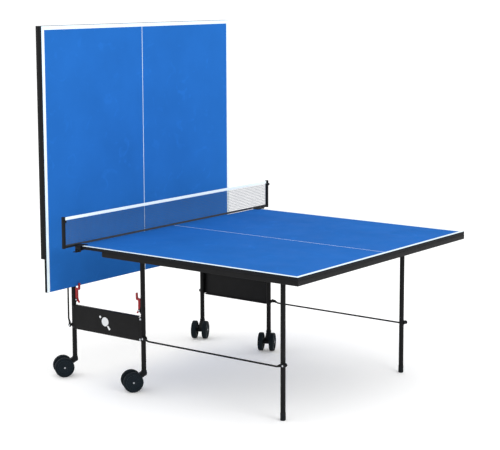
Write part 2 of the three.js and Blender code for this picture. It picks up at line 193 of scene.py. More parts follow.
def finish(name, rgb, gloss, mottle=0.08, patch=60, relief=0.02, grain=1.0, metal=0.0, coat=0.0,
           shine=0.5, speck=None, scuff=None):
    """rgb 0..255; gloss the roughness at its two extremes; patch, grain and relief in mm."""
    material = bpy.data.materials.new(name)
    material.use_nodes = True
    nodes, links = material.node_tree.nodes, material.node_tree.links
    shader = nodes["Principled BSDF"]
    coords = nodes.new("ShaderNodeTexCoord")
    slow = noise(nodes, links, coords, patch)
    fine = noise(nodes, links, coords, grain, 2.0)
    colour = blend_colours(
        nodes, links, spread(nodes, links, slow.outputs["Fac"], 0, 1),
        shade(*rgb, 1 - mottle), shade(*rgb, 1 + mottle))
    if speck:
        dots = noise(nodes, links, coords, speck[0], 1.0)
        colour = blend_colours(
            nodes, links, spread(nodes, links, dots.outputs["Fac"], 0, 1, (0.62, 0.72)),
            colour, shade(*speck[1]))
    rough = spread(nodes, links, noise(nodes, links, coords, patch * 0.4).outputs["Fac"], *gloss)
    if scuff:
        streaks = noise(nodes, links, coords, scuff, 6.0)
        streaks.inputs["Distortion"].default_value = 1.6
        worn = spread(nodes, links, streaks.outputs["Fac"], 0, 0.35, (0.6, 0.75))
        colour = blend_colours(nodes, links, worn, colour, shade(*rgb, 1.35))
    links.new(colour, shader.inputs["Base Color"])
    links.new(rough, shader.inputs["Roughness"])
    shader.inputs["Metallic"].default_value = metal
    shader.inputs["Specular IOR Level"].default_value = shine
    shader.inputs["Coat Weight"].default_value = coat
    shader.inputs["Coat Roughness"].default_value = 0.2
    bump = nodes.new("ShaderNodeBump")
    bump.inputs["Strength"].default_value = 0.6
    bump.inputs["Distance"].default_value = relief / 1000
    links.new(fine.outputs["Fac"], bump.inputs["Height"])
    links.new(bump.outputs["Normal"], shader.inputs["Normal"])
    return material


# %% [markdown]
# The boards are coated particle board: a satin blue playing coat put on by roller, with painted
# white lines, a black edge band and a dark balancing sheet underneath.
# The frame is powder-coated steel, and the rest is moulded plastic, rubber and zinc-plated steel.
# Specular level is kept low on the dark and blue ones, because a white room is mirrored in them.

# %% Paints, plastics, rubber and metal
playing_paint = finish("playing_paint", (37, 102, 180), (0.55, 0.7), mottle=0.05, patch=220,
                       relief=0.03, grain=1.6, shine=0.004, scuff=90)
line_paint = finish("line_paint", (228, 242, 246), (0.5, 0.65), mottle=0.03, patch=40,
                    relief=0.03, grain=1.2, shine=0.2)
edge_band = finish("edge_band", (18, 19, 22), (0.5, 0.62), mottle=0.12, patch=30,
                   relief=0.02, grain=0.8, shine=0.1)
backing = finish("backing_sheet", (46, 48, 52), (0.6, 0.75), mottle=0.12, patch=50,
                 relief=0.05, grain=2.5, shine=0.25, speck=(3.0, (74, 74, 74)))
powder_coat = finish("powder_coat", (19, 19, 20), (0.38, 0.5), mottle=0.14, patch=45,
                     relief=0.035, grain=1.4, shine=0.1)
moulded = finish("moulded_plastic", (21, 23, 26), (0.5, 0.64), mottle=0.12, patch=18,
                 relief=0.03, grain=0.5, shine=0.12)
red_plastic = finish("red_plastic", (148, 16, 22), (0.3, 0.42), mottle=0.08, patch=12,
                     relief=0.015, grain=0.7, coat=0.12, shine=0.25)
tyre_rubber = finish("tyre_rubber", (15, 24, 30), (0.6, 0.8), mottle=0.15, patch=14,
                     relief=0.04, grain=0.6, shine=0.12, speck=(2.5, (28, 36, 42)))
hub_plastic = finish("hub_plastic", (17, 27, 34), (0.42, 0.56), mottle=0.1, patch=10,
                     relief=0.02, grain=0.5, shine=0.12)
zinc = finish("zinc_plate", (196, 200, 206), (0.22, 0.42), mottle=0.1, patch=6,
              relief=0.01, grain=0.4, metal=1.0)
dark_steel = finish("black_oxide_screw", (52, 53, 56), (0.3, 0.45), mottle=0.15, patch=4,
                    relief=0.01, grain=0.4, metal=0.8)
mark_paint = finish("printed_mark", (214, 216, 218), (0.5, 0.6), mottle=0.04, patch=8,
                    relief=0.01, grain=0.6, shine=0.3)

# %% [markdown]
# Cloth tape is a plain weave, so its relief is two sets of ridges at right angles, less than a
# millimetre apart. The net cord is twisted, so its ridges run aslant round the strand.
# Threads that fine could be curves, but waves in the shader give the same look for no geometry. The
# same waves also paint shade into the colour: darker in the valleys between threads and a little
# lighter on the crests.


# %% Woven tapes and net cord
def woven(name, rgb, pitch, ways=("Y", "Z"), relief=0.25, rough=0.85, dark=0.78):
    material = bpy.data.materials.new(name)
    material.use_nodes = True
    nodes, links = material.node_tree.nodes, material.node_tree.links
    shader = nodes["Principled BSDF"]
    coords = nodes.new("ShaderNodeTexCoord")
    threads = []
    for way in ways:
        wave = nodes.new("ShaderNodeTexWave")
        wave.wave_type = "BANDS"
        wave.bands_direction = way
        wave.inputs["Scale"].default_value = 314.16 / pitch
        wave.inputs["Distortion"].default_value = 0.6
        links.new(coords.outputs["Object"], wave.inputs["Vector"])
        threads.append(wave.outputs["Fac"])
    height = threads[0]
    if len(threads) > 1:
        over = nodes.new("ShaderNodeMath")
        over.operation = "MULTIPLY"
        links.new(threads[0], over.inputs[0])
        links.new(threads[1], over.inputs[1])
        height = over.outputs["Value"]
    dust = noise(nodes, links, coords, 25)
    # Painted shade: the colour is darkened by the factor dark in the valleys between threads and
    # lightened a little on the crests.
    shadow = blend_colours(nodes, links, height, shade(*rgb, dark), shade(*rgb, 1.04))
    colour = blend_colours(
        nodes, links, spread(nodes, links, dust.outputs["Fac"], 0, 0.25), shadow, shade(*rgb, 0.85))
    links.new(colour, shader.inputs["Base Color"])
    links.new(spread(nodes, links, dust.outputs["Fac"], rough - 0.08, rough + 0.06),
              shader.inputs["Roughness"])
    shader.inputs["Sheen Weight"].default_value = 0.2
    bump = nodes.new("ShaderNodeBump")
    bump.inputs["Strength"].default_value = 0.7
    bump.inputs["Distance"].default_value = relief / 1000
    links.new(height, bump.inputs["Height"])
    links.new(bump.outputs["Normal"], shader.inputs["Normal"])
    return material


# Every tape and cord carries painted shade in its thread valleys; the white tape's is lighter
# (dark=0.9).
white_tape = woven("white_tape", (240, 252, 254), 0.9, dark=0.9)
dark_tape = woven("dark_tape", (30, 36, 46), 0.9)
net_cord = woven("net_cord", (46, 70, 98), 1.4, ways=("DIAGONAL",), relief=0.15)
stitching = woven("stitching", (214, 216, 220), 0.7, ways=("DIAGONAL",), relief=0.1)

# %% [markdown]
# Most sections of a steel and plastic frame are circles, rounded squares and arcs. They could be
# drawn as Blender curves, but lists of points can be measured, mirrored and joined in plain code.


# %% Outlines
AXES = {"x": Vector((1, 0, 0)), "y": Vector((0, 1, 0)), "z": Vector((0, 0, 1))}


def circle(radius, sides=28, start=0.0):
    return [(radius * cos(start + 2 * pi * i / sides), radius * sin(start + 2 * pi * i / sides))
            for i in range(sides)]


def rounded(width, height, radius, steps=4):
    """Outline of a rectangle with rounded corners."""
    out = []
    for k, (sx, sy) in enumerate(((1, 1), (-1, 1), (-1, -1), (1, -1))):
        for i in range(steps + 1):
            a = pi / 2 * (k + i / steps)
            out.append((sx * (width / 2 - radius) + radius * cos(a),
                        sy * (height / 2 - radius) + radius * sin(a)))
    return out


def arc(cx, cz, r, a0, a1, steps):
    """Points of an arc from a0 to a1 degrees."""
    return [(cx + r * cos(radians(a0 + (a1 - a0) * i / steps)),
             cz + r * sin(radians(a0 + (a1 - a0) * i / steps))) for i in range(steps + 1)]


# %% [markdown]
# Shapes are skinned from rings of points, as a lofting shop would do: a tube is the same ring
# carried along its path, a turned part is a ring for each point of its profile, and a plate is one
# outline pushed through its thickness. Edges are eased afterwards, because no real edge is sharp.
# Primitives with booleans would also do, but skinned rings leave clean faces with no slivers.


# %% The tool for making shapes
class Shape:
    """One mesh in the making, in millimetres, with the material now in use."""

    def __init__(self, material):
        self.mesh = bmesh.new()
        self.materials = []
        self.use(material)

    def use(self, material):
        if material not in self.materials:
            self.materials.append(material)
        self.index = self.materials.index(material)
        return self

    def face(self, verts):
        made = self.mesh.faces.new(verts)
        made.material_index = self.index
        made.smooth = True

    def skin(self, rings, loop=False):
        """Join rings of points; the two ends are closed, or joined to each other in a loop."""
        made = [[self.mesh.verts.new(p) for p in ring] for ring in rings]
        count = len(made[0])
        pairs = list(zip(made, made[1:]))
        if loop:
            pairs.append((made[-1], made[0]))
        for a, b in pairs:
            for i in range(count):
                j = (i + 1) % count
                self.face((a[i], a[j], b[j], b[i]))
        if not loop:
            self.face(list(reversed(made[0])))
            self.face(made[-1])
        return self

    def plate(self, outline, plane, start, stop):
        """Push an outline in one plane through the thickness from start to stop."""
        put = {"xz": lambda a, b, d: (a, d, b), "xy": lambda a, b, d: (a, b, d),
               "yz": lambda a, b, d: (d, a, b)}[plane]
        return self.skin([[put(a, b, d) for a, b in outline] for d in (start, stop)])

    def block(self, x, y, z):
        outline = [(x[0], y[0]), (x[1], y[0]), (x[1], y[1]), (x[0], y[1])]
        return self.plate(outline, "xy", *z)

    def turned(self, profile, axis, centre, sides=32, hollow=False):
        """Turn a profile of (radius, station) about an axis; a hollow one is its own bore."""
        rings = []
        for radius, station in profile:
            put = {"x": lambda c, s: (station, c, s), "y": lambda c, s: (c, station, s),
                   "z": lambda c, s: (c, s, station)}[axis]
            rings.append([Vector(put(c, s)) + Vector(centre) for c, s in circle(radius, sides)])
        return self.skin(rings, hollow)

    def swept(self, path, section, bore=None, normal=None):
        """Carry a section along a path, mitred at the bends, with a bore if one is given."""
        path = [Vector(p) for p in path]
        ways = [(b - a).normalized() for a, b in zip(path, path[1:])]
        side = Vector(normal) if normal else ways[0].orthogonal().normalized()
        outer, inner = [], []
        for i, point in enumerate(path):
            before, after = ways[max(i - 1, 0)], ways[min(i, len(ways) - 1)]
            way = (before + after).normalized()
            side = (side - way * side.dot(way)).normalized()
            other = way.cross(side) / max(0.5, way.dot(after))
            for rings, shape in ((outer, section), (inner, bore)):
                if shape:
                    rings.append([point + side * a + other * b for a, b in shape])
        return self.skin(outer + inner[::-1], True) if bore else self.skin(outer)

    def screw(self, centre, axis, out, radius=4.5, height=2.2, washer=0.0):
        """Domed head with a hexagon recess, standing out along the axis."""
        if washer:
            self.turned([(2, 0), (washer, 0), (washer, out), (2, out)], axis, centre, 24)
            centre = Vector(centre) + AXES[axis] * out
        dome = [(radius * cos(radians(a)), out * height * sin(radians(a)))
                for a in range(0, 61, 12)]
        recess = [(radius * 0.42, out * height * 0.9), (radius * 0.38, out * height * 0.4)]
        self.turned(dome + recess, axis, centre, 18)
        return self


# %% [markdown]
# Each finished shape is put in its place, its edges are eased, and it is set on its body.
# The gap to the solid that it stands for is printed, so that a slip of a millimetre would show.
# The easing is a bevel modifier limited by angle, which needs no picking of edges by hand.


# %% Put a shape in its place
SHARP_EDGE = radians(38)
worst_gaps = []


def set_down(shape, name, place, body, node=None, ease=0.6, segments=2):
    """Make the piece; ease is the width of its edge rounding in mm, node the solid it replaces."""
    bmesh.ops.recalc_face_normals(shape.mesh, faces=shape.mesh.faces)
    shape.mesh.transform(place @ Matrix.Scale(0.001, 4))
    data = bpy.data.meshes.new(name)
    shape.mesh.to_mesh(data)
    shape.mesh.free()
    for material in shape.materials:
        data.materials.append(material)
    data.set_sharp_from_angle(angle=SHARP_EDGE)
    piece = bpy.data.objects.new(name, data)
    bpy.context.scene.collection.objects.link(piece)
    if ease:
        rounding = piece.modifiers.new("eased_edges", "BEVEL")
        rounding.width = ease / 1000
        rounding.segments = segments
        rounding.limit_method = "ANGLE"
        rounding.angle_limit = SHARP_EDGE
        rounding.harden_normals = True
    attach(piece, body)
    if node:
        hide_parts(node)
        a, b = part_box(node)
        gaps = [max(abs(min(v.co[i] for v in data.vertices) - a[i]),
                    abs(max(v.co[i] for v in data.vertices) - b[i])) * 1000 for i in range(3)]
        worst_gaps.append((max(gaps), name))
        if max(gaps) > 1.5:
            print("  ", name, "differs from its solid by", [round(g, 1) for g in gaps], "mm")
    return piece


# %% [markdown]
# A board is 16 mm thick, with its edges eased by about a millimetre. The lines are a separate coat
# of paint a tenth of a millimetre thick: 20 mm along the sides and the end, and 3 mm down the
# middle for doubles. The edge at the net has no line. The lines could be masked in the material,
# but as a real coat they keep crisp edges and catch the light a little differently.

# %% Boards with their painted lines
SIDE_LINE, CENTRE_LINE, rim = 20, 3, 1.1
paint_z = (SURFACE - 0.05, SURFACE + 0.12)
start, stop = board_low.x + rim, END - rim
for hand, where in PLACE.items():
    board = Shape(playing_paint)
    corners = [(board_low.x, -HALF_W), (END, -HALF_W), (END, HALF_W), (board_low.x, HALF_W)]
    rings = [[board.mesh.verts.new((a, b, z)) for a, b in corners] for z in (UNDER, SURFACE)]
    board.face(rings[1])
    board.use(edge_band)
    for i in range(4):
        j = (i + 1) % 4
        board.face((rings[0][i], rings[0][j], rings[1][j], rings[1][i]))
    board.use(backing)
    board.face(rings[0][::-1])
    set_down(board, f"{hand}_playing_board", where["half"], f"{hand}_half", f"{hand}_board",
             ease=1.0, segments=3)
    lines = Shape(line_paint)
    lines.block((start, stop), (-HALF_W + rim, -HALF_W + SIDE_LINE), paint_z)
    lines.block((start, stop), (HALF_W - SIDE_LINE, HALF_W - rim), paint_z)
    lines.block((END - SIDE_LINE, stop), (-HALF_W + SIDE_LINE, HALF_W - SIDE_LINE), paint_z)
    lines.block((start, END - SIDE_LINE), (-CENTRE_LINE / 2, CENTRE_LINE / 2), paint_z)
    set_down(lines, f"{hand}_painted_lines", where["half"], f"{hand}_half", ease=0)
print("board", round(SURFACE - UNDER, 1), "mm thick, side lines", SIDE_LINE, "mm wide")

# %% [markdown]
# The apron is one run of 25 mm square tube, mitred at the two outer corners and closed with
# pressed-in plugs at its open ends. It is screwed up into the board from below.
# A cross rail ties the two sides together near the pivots. Sweeping one square section with its
# bore round the corners gives true mitres, which four separate bars would not.

# %% Aprons, cross rails, plugs and screws
apron_low, apron_high = (mm(p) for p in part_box("right_apron"))
APRON, APRON_WALL, CORNER, BORE_CORNER, WELD_R = 25, 1.5, 2.4, 1.2, 1.6
edge, bore = APRON / 2, APRON - 2 * APRON_WALL
apron_z = apron_high.z - edge
under, cross_x = apron_z - edge, ARCH.x + 68
SIDE_SCREWS, END_SCREWS = (230, 460, 690, 920, 1150, 1320), (-480, -160, 160, 480)
CROSS_SCREWS = (-600, -260, 260, 600)
run = [(apron_low.x, -HALF_W + edge, apron_z), (END - edge, -HALF_W + edge, apron_z),
       (END - edge, HALF_W - edge, apron_z), (apron_low.x, HALF_W - edge, apron_z)]
for hand, where in PLACE.items():
    apron = Shape(powder_coat)
    apron.swept(run, rounded(APRON, APRON, CORNER), rounded(bore, bore, BORE_CORNER), (0, 0, 1))
    ends = [(cross_x, s * (HALF_W - APRON + 0.5), apron_z) for s in (-1, 1)]
    apron.swept(ends, rounded(APRON, APRON - 0.6, CORNER), rounded(bore, bore - 0.6, BORE_CORNER),
                (0, 0, 1))
    for s in (-1, 1):
        for way in (-1, 1):
            weld = [(cross_x + way * edge, s * (HALF_W - APRON - 0.4), apron_z + dz)
                    for dz in (-11, -6, -1, 4, 9)]
            apron.swept(weld, circle(WELD_R, 8))
    set_down(apron, f"{hand}_apron_tube", where["half"], f"{hand}_half", f"{hand}_apron",
             ease=0)
    plugs = Shape(moulded)
    for s in (-1, 1):
        y = s * (HALF_W - edge)
        for size, x0, x1 in ((24.4, -2.2, -0.05), (21.6, -0.05, 9)):
            plugs.plate([(y + a, apron_z + b) for a, b in rounded(size, size, 2.2)], "yz",
                        apron_low.x + x0, apron_low.x + x1)
    set_down(plugs, f"{hand}_apron_plugs", where["half"], f"{hand}_half", ease=0.8)
    screws = Shape(dark_steel)
    spots = [(x, s * (HALF_W - edge)) for s in (-1, 1) for x in SIDE_SCREWS]
    spots += [(END - edge, y) for y in END_SCREWS] + [(cross_x, y) for y in CROSS_SCREWS]
    for x, y in spots:
        screws.screw((x, y, under), "z", -1, 4.4, 2.0)
    set_down(screws, f"{hand}_apron_screws", where["half"], f"{hand}_half", ease=0)
print("apron:", round(END - apron_low.x), "mm long on each side, with", len(spots), "screws")

# %% [markdown]
# Arches and end legs are bent from one length of 25 mm round tube each. A welded tab on each leg
# carries the stud that the stay rod hangs on, closed by a domed nut. A bevelled curve makes a tube
# too, but it has no wall, and the open end of the arch above each caster would look solid.


# %% Bent tube frames with their studs
def tube_frame(x, foot):
    path = [(x, -LEG_Y, foot), (x, -LEG_Y, ARCH.z - BEND_R - 60)]
    for a in range(0, 91, 9):
        path.append((x, -LEG_Y + BEND_R * (1 - cos(radians(a))),
                     ARCH.z - BEND_R * (1 - sin(radians(a)))))
    path += [(x, -y, z) for _, y, z in reversed(path)]
    made = Shape(powder_coat)
    made.swept(path, circle(TUBE_R), circle(TUBE_R - TUBE_WALL), (1, 0, 0))
    stud, root = x + STUD_OUT, x + TUBE_R - 6
    for s in (-1, 1):
        tab = [(root, STUD.z - 10), (stud + 2, STUD.z - 10), *arc(stud, STUD.z, 9, -75, 75, 8),
               (stud + 2, STUD.z + 10), (root, STUD.z + 10)]
        made.plate(tab, "xz", s * (LEG_Y - 3), s * (LEG_Y + 3))
        for dz in (-9, 9):
            weld = [(x + TUBE_R - 1.2, s * (LEG_Y + dy), STUD.z + dz) for dy in (-2.4, 2.4)]
            made.swept(weld, circle(1.4, 8))
        collar = [(6.5, s * (LEG_Y + 2.5)), (6.5, s * (ROD_Y - 3.4)), (5.8, s * (ROD_Y - 2.8))]
        made.turned(collar, "y", (stud, 0, STUD.z), 24)
    return made


def stud_hardware(x):
    made = Shape(zinc)
    pin = [(3.9, -3), (3.9, 3.6)]
    washer = [(7.5, 2.8), (7.5, 3.6), (4.6, 3.7)]
    nut = [(4.4, 3.6), (4.2, 4.8), (3.0, 5.4), (1.0, 5.6)]
    for s in (-1, 1):
        for metal, profile, sides in ((zinc, pin, 20), (dark_steel, washer, 24), (zinc, nut, 24)):
            made.use(metal)
            made.turned([(r, s * (ROD_Y + out)) for r, out in profile], "y",
                        (x + STUD_OUT, 0, STUD.z), sides)
    return made


ARCH_FOOT, LEG_FOOT = 104, 4.3
for hand, where in PLACE.items():
    set_down(tube_frame(ARCH.x, ARCH_FOOT), f"{hand}_arch_tube", where["arch"], "undercarriage",
             f"{hand}_arch", ease=0)
    set_down(stud_hardware(ARCH.x), f"{hand}_arch_studs", where["arch"], "undercarriage", ease=0)
    set_down(tube_frame(LEG.x, LEG_FOOT), f"{hand}_end_leg_tube", where["legs"],
             f"{hand}_end_legs", f"{hand}_leg_frame", ease=0)
    set_down(stud_hardware(LEG.x), f"{hand}_end_leg_studs", where["legs"], f"{hand}_end_legs",
             ease=0)
print("tube frames:", 2 * round(LEG_Y), "mm wide, bent to a radius of", BEND_R, "mm")

# %% [markdown]
# A stay rod is 9 mm bar with its ends heated and pressed flat into eyes, so the section changes
# from round to flat over about 30 mm. Rings that change their proportions along the bar show that
# forging, where a cylinder with a ring stuck on its end would not.

# %% Stay rods
ROD_R, ROD_DROP, EYE_HALF_WIDE, EYE_HALF_THICK = 4.5, 8, 8.4, 2.4
leg_stud = LEG.x + STUD_OUT
flattening = [(7, 1.0), (14, 1.0), (20, 0.82), (26, 0.5), (32, 0.2), (38, 0.0), (60, 0.0)]
eye = [(4.3, -2.5), (9.2, -2.5), (10, -1.7), (10, 1.7), (9.2, 2.5), (4.3, 2.5)]
marks = [(STUD.x + d, f) for d, f in flattening] + [((STUD.x + leg_stud) / 2, 0.0)]
marks += [(leg_stud - d, f) for d, f in reversed(flattening)]
for hand, where in PLACE.items():
    for s in (-1, 1):
        rod = Shape(powder_coat)
        rings = []
        for x, flat in marks:
            wide = ROD_R + (EYE_HALF_WIDE - ROD_R) * flat
            thick = ROD_R + (EYE_HALF_THICK - ROD_R) * flat
            z = STUD.z - ROD_DROP + ROD_DROP * flat
            rings.append([(x, s * ROD_Y + thick * a / ROD_R, z + wide * b / ROD_R)
                          for a, b in circle(ROD_R, 20)])
        rod.skin(rings)
        for x in (STUD.x, leg_stud):
            rod.turned(eye, "y", (x, s * ROD_Y, STUD.z), 32, hollow=True)
        side = SIDE_NAME[hand][s]
        set_down(rod, f"{hand}_stay_bar_{side}", where["rods"], f"{hand}_stay_rods",
                 f"{hand}_stay_rod_{side}", ease=0)
print("stay rods:", round(leg_stud - STUD.x), "mm between the centres of their eyes")

# %% [markdown]
# Each cross tube turns in two saddle straps, pressed from 2.5 mm strip and screwed to the board
# through an ear on either side. The bend and the ears are one outline pushed through the width of
# the strip, just as the real one is one blank.

# %% Saddle straps and their screws
STRAP_Y, STRAP_T, EAR, HALF_WIDE = LEG_Y - 138, 2.5, 36, 20
top, r_in = UNDER - 0.3, TUBE_R + 0.4
bottom, r_out = top - STRAP_T, r_in + STRAP_T
for hand, where in PLACE.items():
    for kind, x in (("pivot", ARCH.x), ("leg", LEG.x)):
        for s in (-1, 1):
            strap = Shape(powder_coat)
            outline = [(x - EAR, top), (x - r_in, top), *arc(x, ARCH.z, r_in, 180, 360, 20),
                       (x + r_in, top), (x + EAR, top), (x + EAR, bottom), (x + r_out, bottom),
                       *arc(x, ARCH.z, r_out, 0, -180, 20), (x - r_out, bottom),
                       (x - EAR, bottom)]
            strap.plate(outline, "xz", s * STRAP_Y - HALF_WIDE, s * STRAP_Y + HALF_WIDE)
            strap.use(zinc)
            for ex in (-27, 27):
                for ey in (-10, 10):
                    strap.screw((x + ex, s * STRAP_Y + ey, bottom), "z", -1, 4.0, 2.2)
            side = SIDE_NAME[hand][s]
            set_down(strap, f"{hand}_{kind}_saddle_{side}", where["half"], f"{hand}_half",
                     f"{hand}_{kind}_strap_{side}", ease=0.5)
print("straps:", 2 * round(STRAP_Y), "mm apart on each cross tube")

# %% [markdown]
# The end legs stand on moulded caps. Grip rings and a rolled lip are what tell a moulded cap from
# the plain end of the tube. Everything on the cap is round, so one turned profile makes it whole.

# %% Feet on the end legs
FOOT_R, GRIP_R, FLOOR_T = 13.6, 12.9, 4
cap = [(9.5, 0), (12.2, 0.6), (13.3, 2.2), (FOOT_R, 4.5)]
for z in (12, 16, 20, 24):
    cap += [(FOOT_R, z), (GRIP_R, z + 0.7), (GRIP_R, z + 1.5), (FOOT_R, z + 2.2)]
cap += [(FOOT_R, 33), (13.7, 35), (FOOT_R, 37.4), (13.2, 38), (12.8, 38), (12.8, FLOOR_T),
        (9.5, FLOOR_T)]
for hand, where in PLACE.items():
    for s in (-1, 1):
        foot = Shape(moulded)
        foot.turned(cap, "z", (LEG.x, s * LEG_Y, 0), 36, hollow=True)
        foot.turned([(9.6, 0.3), (9.6, FLOOR_T - 0.1)], "z", (LEG.x, s * LEG_Y, 0), 36)
        side = SIDE_NAME[hand][s]
        set_down(foot, f"{hand}_foot_cap_{side}", where["legs"], f"{hand}_end_legs",
                 f"{hand}_foot_{side}", ease=0)
print("foot caps:", cap[-3][1], "mm tall on tubes of", 2 * TUBE_R, "mm")

# %% [markdown]
# Two pressed channels join the arches low down. The flanges stop short of the tubes, and only the
# flat web runs on to be bolted to them. A bent sheet has the same wall all through, so its section
# is drawn as an outer and an inner bend of one sheet, not as a block with a hollow cut in it.


# %% Side panels with their bolts
def bow(centre_a, centre_b, radius_a, radius_b, angles):
    """Points round a bend, from plus b towards plus a as the angle grows from 0 to 90."""
    return [(centre_a + radius_a * sin(radians(a)), centre_b + radius_b * cos(radians(a)))
            for a in angles]


SHEET, FLANGE, BEND, TAB_R = 1.5, 18, 4, 5
UP, DOWN = range(0, 91, 15), range(90, -1, -15)
panel_face = {s: abs(mm(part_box(f"side_panel_{s}")[0 if s == "near" else 1]).y) for s in SIDES}
for side, s in SIDES.items():
    panel_low, panel_high = (mm(p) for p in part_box(f"side_panel_{side}"))
    z0, z1, end = panel_low.z, panel_high.z, panel_high.x
    flange_end, outer = ARCH.x - TUBE_R - 5, s * panel_face[side]
    core, inside = outer - s * BEND, BEND - SHEET
    section = [(outer - s * FLANGE, z1 - SHEET), (outer - s * FLANGE, z1)]
    section += bow(core, z1 - BEND, s * BEND, BEND, UP)
    section += bow(core, z0 + BEND, s * BEND, -BEND, DOWN)
    section += [(outer - s * FLANGE, z0), (outer - s * FLANGE, z0 + SHEET)]
    section += bow(core, z0 + BEND, s * inside, -inside, UP)
    section += bow(core, z1 - BEND, s * inside, inside, DOWN)
    made = Shape(powder_coat)
    made.plate(section, "yz", -flange_end, flange_end)
    for way in (-1, 1):
        root, tip = way * (flange_end - 2), way * (end - TAB_R)
        tab = [(root, z0 + 6), (root, z1 - 6)]
        tab += bow(tip, z1 - TAB_R, way * TAB_R, TAB_R, UP)
        tab += bow(tip, z0 + TAB_R, way * TAB_R, -TAB_R, DOWN)
        made.plate(tab, "xz", outer - s * SHEET, outer)
    set_down(made, f"{side}_channel_panel", FLAT, "undercarriage", f"side_panel_{side}",
             ease=0.4)
    bolts = Shape(dark_steel)
    for way, metal in ((-1, dark_steel), (1, zinc)):
        bolts.use(metal)
        for x, z in ((237, z1 - 13), (234, z0 + 10)):
            bolts.screw((way * x, outer, z), "y", s, 3.8, 2.4, washer=5.4)
    set_down(bolts, f"{side}_panel_bolts", FLAT, "undercarriage", ease=0)
print("panels:", round(z1 - z0), "mm tall and", round(2 * end), "mm long")

# %% [markdown]
# The outer face of the near panel carries a small printed pictogram of a bat and a ball. Ink could
# be painted in the material, but a film a tenth of a millimetre thick needs no mask.


# %% Printed pictogram
def leaned(points, x, z, angle):
    return [(x + a * cos(angle) - b * sin(angle), z + a * sin(angle) + b * cos(angle))
            for a, b in points]


mark = Shape(mark_paint)
print_y = (-panel_face["near"] - 0.15, -panel_face["near"] + 0.05)
bat_x, bat_z, lean = -8, (z0 + z1) / 2 + 4, radians(40)
blade = arc(0, 0, 24, -68, 248, 28)
grip = [(-5, -26), (5, -26), (6.5, -50), (-6.5, -50)]
for outline in (blade, grip):
    mark.plate(leaned(outline, bat_x, bat_z, lean), "xz", *print_y)
mark.plate(arc(bat_x - 34, bat_z + 22, 6.5, 0, 345, 23), "xz", *print_y)
set_down(mark, "bat_and_ball_mark", FLAT, "undercarriage", ease=0)
print("pictogram: blade", 48, "mm across")

# %% [markdown]
# A red hook on each arch leg reaches under the lower edge of a raised half and up in front of it.
# It turns on a pin between the two ears of a small bracket that is fixed to the tube. A moulded
# hook is flat-sided, so it is one outline with a raised rib on each face and well-rounded edges.

# %% Latch brackets and red hooks
raised_face = ARCH.x - (SURFACE - ARCH.z)
PLATE_T, EAR_IN, EAR_OUT, HOOK_HALF = 2, 5.5, 7.5, 5
pin_profile = [(1.2, -8.6), (3.2, -8.3), (4.2, -7.6), (3, -7.4), (3, 7.4), (4.2, 7.6), (3.2, 8.3),
               (1.2, 8.6)]
lever = [(8, 63), (6, 53), (6, 7), (7, 0), (5, -5), (0, -7), (-7, -8),
         (-15, -16.5), (-18.5, -13), (-10, -2), (-6.5, 8), (-6.5, 50)]
tip = [(-3, 53), (-12, 54), (-14.5, 58), (-15.5, 88), (-13, 91), (-8, 90), (-5.5, 65), (-3, 63)]
rib = [(3.2, 14), (3.2, 48), (-3.4, 48), (-3.4, 14)]
round_end = [(0, -7)]
round_end += [(-7 * sin(radians(a)), -7 * cos(radians(a))) for a in range(20, 181, 20)]


def beside(h, points, x):
    """Points about the height of the pins, at x on the left (h -1) or the right (h 1)."""
    return [(h * (x + a), LATCH.z + b) for a, b in points]


for hand, h in HANDS.items():
    for side, s in SIDES.items():
        y = s * LEG_Y
        back = h * (ARCH.x - TUBE_R - 0.3)
        bracket = Shape(powder_coat)
        bracket.plate([(y + a, LATCH.z + b) for a, b in rounded(15, 30, 3)], "yz",
                      back - h * PLATE_T, back)
        ear = [(back, LATCH.z + 9), (back, LATCH.z - 9)]
        ear += beside(h, round_end, LATCH.x)
        for way in (-1, 1):
            bracket.plate(ear, "xz", y + way * EAR_IN, y + way * EAR_OUT)
        set_down(bracket, f"{hand}_{side}_latch_bracket", FLAT, "undercarriage",
                 f"latch_bracket_{hand}_{side}", ease=0.3)
        pin = Shape(zinc)
        pin.turned(pin_profile, "y", (h * LATCH.x, y, LATCH.z), 20)
        set_down(pin, f"{hand}_{side}_latch_pin", FLAT, "undercarriage", ease=0)
        hook = Shape(red_plastic)
        hook.plate(beside(h, lever, LATCH.x) + beside(h, tip, raised_face), "xz",
                   y - HOOK_HALF, y + HOOK_HALF)
        for face in (-1, 1):
            hook.plate(beside(h, rib, LATCH.x), "xz", y + face * 4.8, y + face * 5.4)
        set_down(hook, f"{hand}_{side}_hook", FLAT, f"latch_{hand}_{side}", f"latch_{hand}_{side}",
                 ease=1.3, segments=3)
print("hooks: pins", round(2 * LATCH.x), "mm apart across the trolley")

# %% [markdown]
# Twin-wheel casters: a moulded fork hangs from a swivel stem in the arch leg and trails behind it.
# The fork is a plate for the arm, a thinner one for its web, and turned bosses for the axle and the
# stem. It could be sculpted as one form, but these are the parts that its mould is cut from.


# %% Caster fork
HALF_WHEEL = 13


def fork_shape(trail, radius, spacing):
    """The stem is at zero and the axle a trail away, with wheels spaced to either side."""
    top, boss = 2 * radius - 0.3, spacing - HALF_WHEEL - 0.3
    arm = [(-14, top - 8), (15, top - 8), (trail - 2, radius + 15), (trail + 6, radius + 12),
           (trail + 11, radius + 6), (trail + 13, radius), (trail + 8, radius - 10),
           (trail - 3, radius - 13), (trail - 12, radius - 9), (-14, top - 22)]
    web = [(2, top - 18), (20, top - 14), (trail - 8, radius + 4), (trail - 12, radius - 4)]
    fork = Shape(moulded)
    fork.plate(arm, "xz", -12, 12)
    fork.plate(web, "xz", -13, 13)
    fork.turned([(11, -boss), (11, -13), (12.5, -12), (12.5, 12), (11, 13), (11, boss)],
                "y", (trail, 0, radius), 32)
    fork.turned([(14.5, top - 9), (15, top - 7.5), (15, top - 3), (13.8, top - 1.6), (13.8, top)],
                "z", (0, 0, 0), 36)
    fork.turned([(9.5, top - 0.5), (9.5, top + 40)], "z", (0, 0, 0), 24)
    return fork


